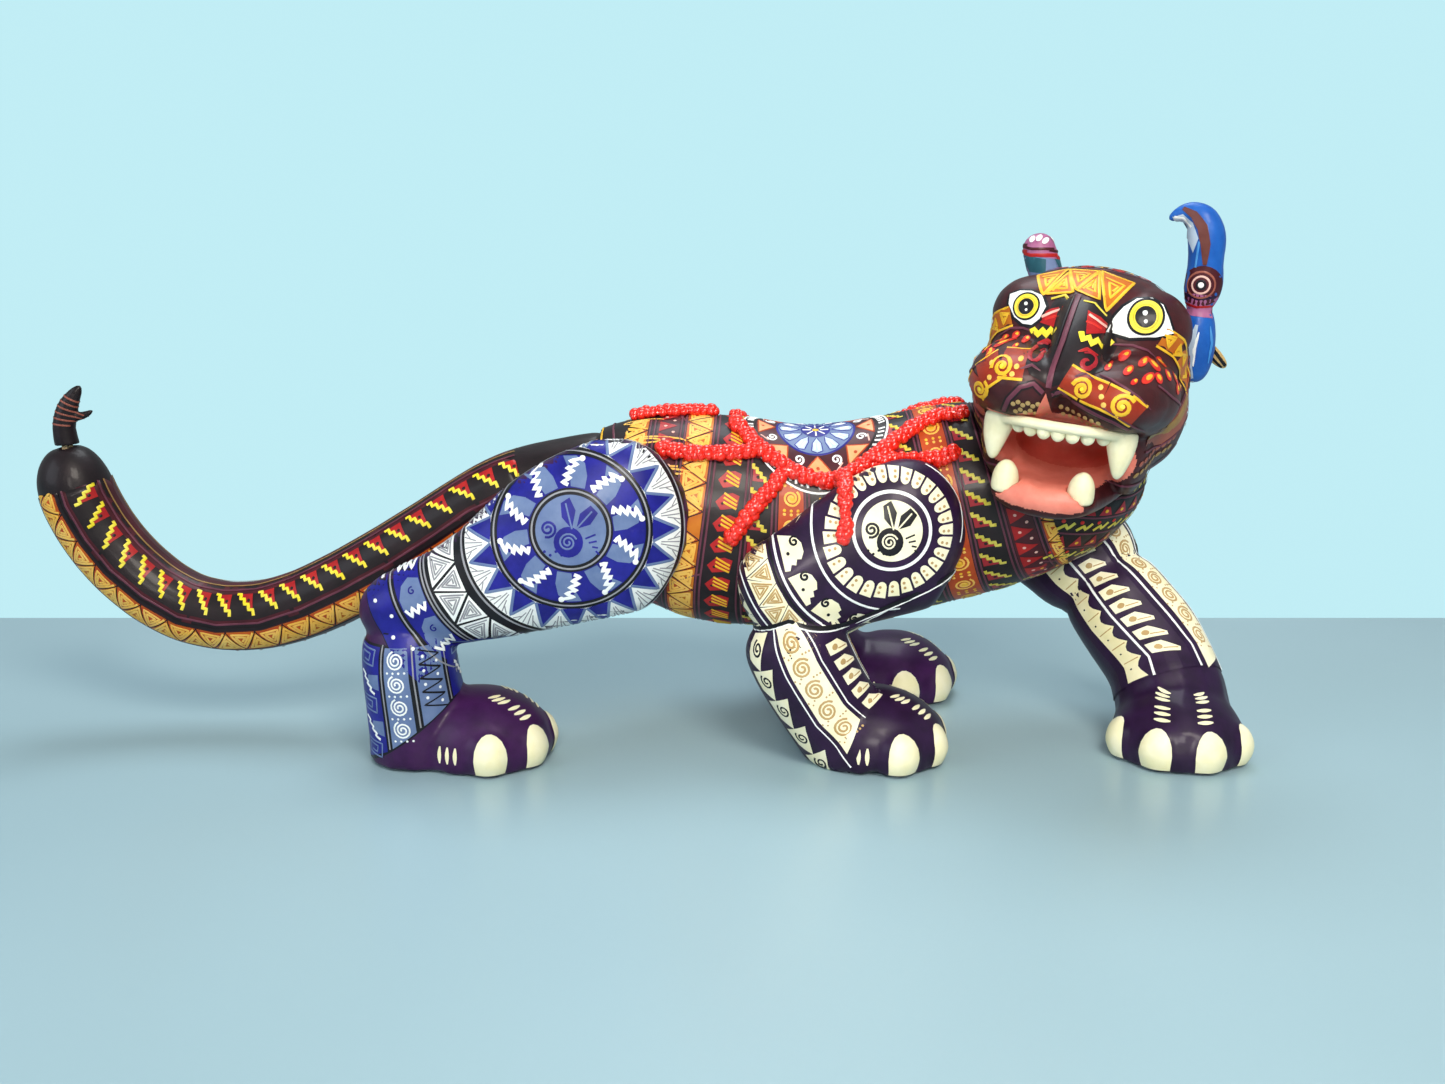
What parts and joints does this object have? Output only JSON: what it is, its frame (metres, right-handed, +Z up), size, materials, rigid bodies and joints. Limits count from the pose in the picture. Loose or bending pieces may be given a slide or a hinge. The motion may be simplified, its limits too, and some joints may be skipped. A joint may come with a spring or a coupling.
{
  "type": "carved feline figure",
  "caption": "Carved and painted wooden feline striding with its mouth open, a long curled tail and a bird for one ear.",
  "frame": {"origin": "on the table, under the middle of the figure's bounding box", "axes": "+X from the tail to the head, -Y the side the face is turned to, +Z up"},
  "size_m": [0.5641, 0.1895, 0.2491],
  "materials": {
    "torso_paint": "dark brown-black acrylic with red and gold patterns, satin varnish",
    "head_paint": "maroon-brown acrylic with gold and red patterns, satin varnish",
    "hind_leg_paint": "ultramarine and grey-blue acrylic patterns, satin varnish",
    "front_leg_paint": "purple-black acrylic with cream patterns, satin varnish",
    "tail_paint": "dark brown acrylic with red steps and an orange band, satin varnish",
    "tail_tip_paint": "black-brown acrylic with reddish ribs",
    "bird_paint": "blue acrylic with a maroon head, satin varnish",
    "feather_paint": "tan and black acrylic",
    "ear_paint": "mauve and red acrylic with white dabs",
    "tooth_paint": "cream acrylic, satin varnish",
    "bare_wood": "unpainted copal wood",
    "red_relief": "glossy red paint built up in beads"
  },
  "bodies": {
    "figure": {"torso": "torso_paint", "head": "head_paint", "leg_hind_right": "hind_leg_paint", "leg_hind_left": "hind_leg_paint", "leg_front_right": "front_leg_paint", "leg_front_left": "front_leg_paint", "upper_teeth": "tooth_paint", "lower_canine_right": "tooth_paint", "lower_canine_left": "tooth_paint", "relief_near": "red_relief", "relief_far": "red_relief", "relief_ridge": "red_relief", "dowel_neck": "bare_wood", "dowel_hind_right": "bare_wood", "dowel_front_right": "bare_wood", "dowel_hind_left": "bare_wood", "dowel_front_left": "bare_wood"},
    "tail_piece": {"tail": "tail_paint", "tail_tip": "tail_tip_paint", "tail_peg": "bare_wood", "tail_tip_peg": "bare_wood"},
    "ear_left_piece": {"ear_left_bird": "bird_paint", "bird_feather": "feather_paint", "ear_left_peg": "bare_wood"},
    "ear_right_piece": {"ear_right": "ear_paint", "ear_right_peg": "bare_wood"}
  },
  "joints": [
    {"name": "tail_pull", "type": "slide", "parent": "figure", "child": "tail_piece", "axis": [-0.9694, 0, -0.2454], "range_m": [0, 0.056]},
    {"name": "ear_left_pull", "type": "slide", "parent": "figure", "child": "ear_left_piece", "axis": [0.9327, -0.3395, -0.1219], "range_m": [0, 0.024]},
    {"name": "ear_right_pull", "type": "slide", "parent": "figure", "child": "ear_right_piece", "axis": [-0.2479, 0.0902, 0.9646], "range_m": [0, 0.03]}
  ]
}
